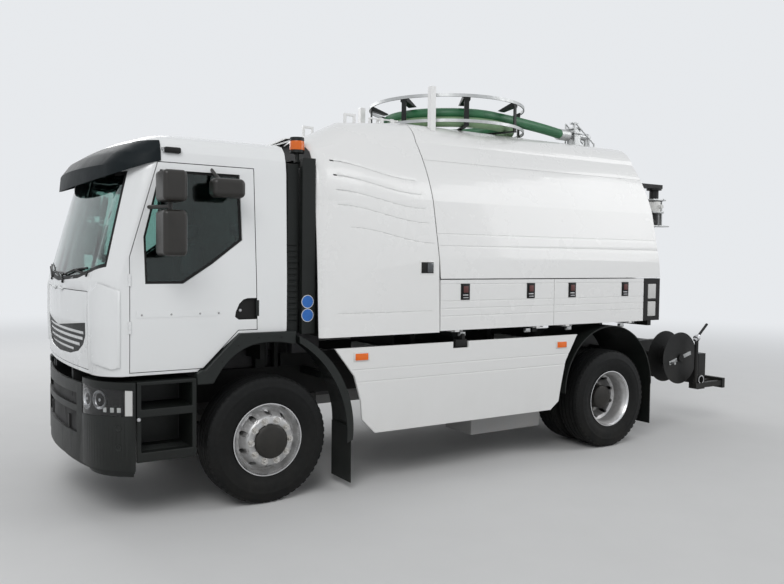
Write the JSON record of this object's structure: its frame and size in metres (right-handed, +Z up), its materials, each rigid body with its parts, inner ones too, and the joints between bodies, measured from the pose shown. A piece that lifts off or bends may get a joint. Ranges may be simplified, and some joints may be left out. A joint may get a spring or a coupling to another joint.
{
  "type": "sewer cleaning truck",
  "caption": "Forward-control truck with a tilting cab, steered front wheels, a covered suction tank with a rear door, lockers and a roof hose basket.",
  "frame": {"origin": "on the ground under the middle of the vehicle's length and width", "axes": "+X forward, +Y to the vehicle's left, +Z up"},
  "size_m": [7.51, 2.96, 3.7],
  "materials": {
    "black_chassis": "dark satin paint",
    "dark_plastic": "grained dark plastic",
    "white_paint": "gloss white paint",
    "white_cover": "gloss white moulded covers",
    "glass": "tinted glass",
    "lamp": "clear lamp lens",
    "tail": "red and clear lamp lenses in a dark frame",
    "tyre": "tyre rubber with grey steel wheel",
    "steel": "bright steel",
    "forging": "dark forging",
    "grey_box": "grey painted boxes",
    "hose": "green ribbed hose",
    "fabric": "dark woven seat cloth",
    "rubber": "black rubber"
  },
  "bodies": {
    "chassis": {"chassis_frame": "black_chassis", "front_axle": "forging", "rear_axle": "forging", "leaf_springs": "forging", "engine_and_driveline": "forging", "side_boxes": "grey_box", "front_bumper": "dark_plastic", "headlamps": "lamp", "entry_steps": "dark_plastic", "front_mudguards": "dark_plastic", "rear_mudguards": "dark_plastic", "intake_stack": "dark_plastic", "beacon_frame": "dark_plastic", "body_frame": "black_chassis", "tank": "white_paint", "roof_deck": "white_paint", "roof_posts": "white_paint", "rear_covers": "white_cover", "lockers": "grey_box", "tail_lamps": "tail", "side_skirts": "white_cover", "rear_bar": "black_chassis", "reel_stand": "black_chassis", "hose_basket": "steel", "suction_hose": "hose", "roof_valve": "steel", "pump_unit": "forging"},
    "cab": {"cab_shell": "white_paint", "arch_trims": "dark_plastic", "windscreen": "glass", "sun_visor": "dark_plastic", "dashboard": "dark_plastic", "seats": "fabric", "steering_wheel": "rubber"},
    "left_door": {"door_left": "white_paint", "door_glass_left": "glass", "mirrors_left": "dark_plastic"},
    "right_door": {"door_right": "white_paint", "door_glass_right": "glass", "mirrors_right": "dark_plastic"},
    "flap": {"front_flap": "white_paint", "grille": "dark_plastic"},
    "left_front_cover": {"front_cover_left": "white_cover"},
    "right_front_cover": {"front_cover_right": "white_cover"},
    "left_front_locker_door": {"locker_door_left_front": "white_cover"},
    "left_rear_locker_door": {"locker_door_left_rear": "white_cover"},
    "right_front_locker_door": {"locker_door_right_front": "white_cover"},
    "right_rear_locker_door": {"locker_door_right_rear": "white_cover"},
    "rear_door": {"tank_door": "white_paint", "rear_pipes": "black_chassis"},
    "reel": {"hose_reel": "black_chassis"},
    "left_knuckle": {"knuckle_left": "forging"},
    "right_knuckle": {"knuckle_right": "forging"},
    "left_front_wheel": {"front_wheel_left": "tyre"},
    "right_front_wheel": {"front_wheel_right": "tyre"},
    "steering_tie_rod": {"tie_rod": "forging"},
    "left_rear_wheels": {"rear_wheels_left": "tyre"},
    "right_rear_wheels": {"rear_wheels_right": "tyre"}
  },
  "joints": [
    {"name": "steer_left", "type": "hinge", "parent": "chassis", "child": "left_knuckle", "pos_m": [2.335, 0.865, 0.523], "axis": [0, 0, 1], "range_deg": [-35, 35]},
    {"name": "front_wheel_spin_left", "type": "hinge", "parent": "left_knuckle", "child": "left_front_wheel", "pos_m": [2.335, 1.017, 0.523], "axis": [0, 1, 0], "continuous": true},
    {"name": "rear_wheel_spin_left", "type": "hinge", "parent": "chassis", "child": "left_rear_wheels", "pos_m": [-1.615, 0.92, 0.523], "axis": [0, 1, 0], "continuous": true},
    {"name": "steer_right", "type": "hinge", "parent": "chassis", "child": "right_knuckle", "pos_m": [2.335, -0.865, 0.523], "axis": [0, 0, 1], "range_deg": [-35, 35]},
    {"name": "front_wheel_spin_right", "type": "hinge", "parent": "right_knuckle", "child": "right_front_wheel", "pos_m": [2.335, -1.017, 0.523], "axis": [0, 1, 0], "continuous": true},
    {"name": "rear_wheel_spin_right", "type": "hinge", "parent": "chassis", "child": "right_rear_wheels", "pos_m": [-1.615, -0.92, 0.523], "axis": [0, 1, 0], "continuous": true},
    {"name": "tie_rod_pin", "type": "hinge", "parent": "left_knuckle", "child": "steering_tie_rod", "pos_m": [2.155, 0.865, 0.39], "axis": [0, 0, 1], "range_deg": [-35, 35]},
    {"name": "cab_tilt", "type": "hinge", "parent": "chassis", "child": "cab", "pos_m": [3.665, 0, 1.06], "axis": [0, 1, 0], "range_deg": [0, 60]},
    {"name": "cab_door_left", "type": "hinge", "parent": "cab", "child": "left_door", "pos_m": [3.432, 1.14, 1.9], "axis": [0, 0, -1], "range_deg": [0, 75]},
    {"name": "front_cover_left", "type": "hinge", "parent": "chassis", "child": "left_front_cover", "pos_m": [0.855, 0.5, 3.355], "axis": [1, 0, 0], "range_deg": [0, 60]},
    {"name": "locker_left_front", "type": "hinge", "parent": "chassis", "child": "left_front_locker_door", "pos_m": [-0.025, 1.228, 1.342], "axis": [-1, 0, 0], "range_deg": [0, 90]},
    {"name": "locker_left_rear", "type": "hinge", "parent": "chassis", "child": "left_rear_locker_door", "pos_m": [-1.415, 1.228, 1.342], "axis": [-1, 0, 0], "range_deg": [0, 90]},
    {"name": "cab_door_right", "type": "hinge", "parent": "cab", "child": "right_door", "pos_m": [3.432, -1.14, 1.9], "axis": [0, 0, 1], "range_deg": [0, 75]},
    {"name": "front_cover_right", "type": "hinge", "parent": "chassis", "child": "right_front_cover", "pos_m": [0.855, -0.5, 3.355], "axis": [-1, 0, 0], "range_deg": [0, 60]},
    {"name": "locker_right_front", "type": "hinge", "parent": "chassis", "child": "right_front_locker_door", "pos_m": [-0.025, -1.228, 1.342], "axis": [1, 0, 0], "range_deg": [0, 90]},
    {"name": "locker_right_rear", "type": "hinge", "parent": "chassis", "child": "right_rear_locker_door", "pos_m": [-1.415, -1.228, 1.342], "axis": [1, 0, 0], "range_deg": [0, 90]},
    {"name": "front_flap_lift", "type": "hinge", "parent": "cab", "child": "flap", "pos_m": [3.74, 0, 1.74], "axis": [0, -1, 0], "range_deg": [0, 70]},
    {"name": "tank_door_lift", "type": "hinge", "parent": "chassis", "child": "rear_door", "pos_m": [-2.406, 0, 3.265], "axis": [0, 1, 0], "range_deg": [0, 95]},
    {"name": "hose_reel_turn", "type": "hinge", "parent": "chassis", "child": "reel", "pos_m": [-3.075, 0.89, 0.85], "axis": [0, 1, 0], "continuous": true}
  ],
  "couplings": [
    {"joint": "steer_right", "follows": "steer_left", "ratio": 1},
    {"joint": "tie_rod_pin", "follows": "steer_left", "ratio": -1}
  ]
}
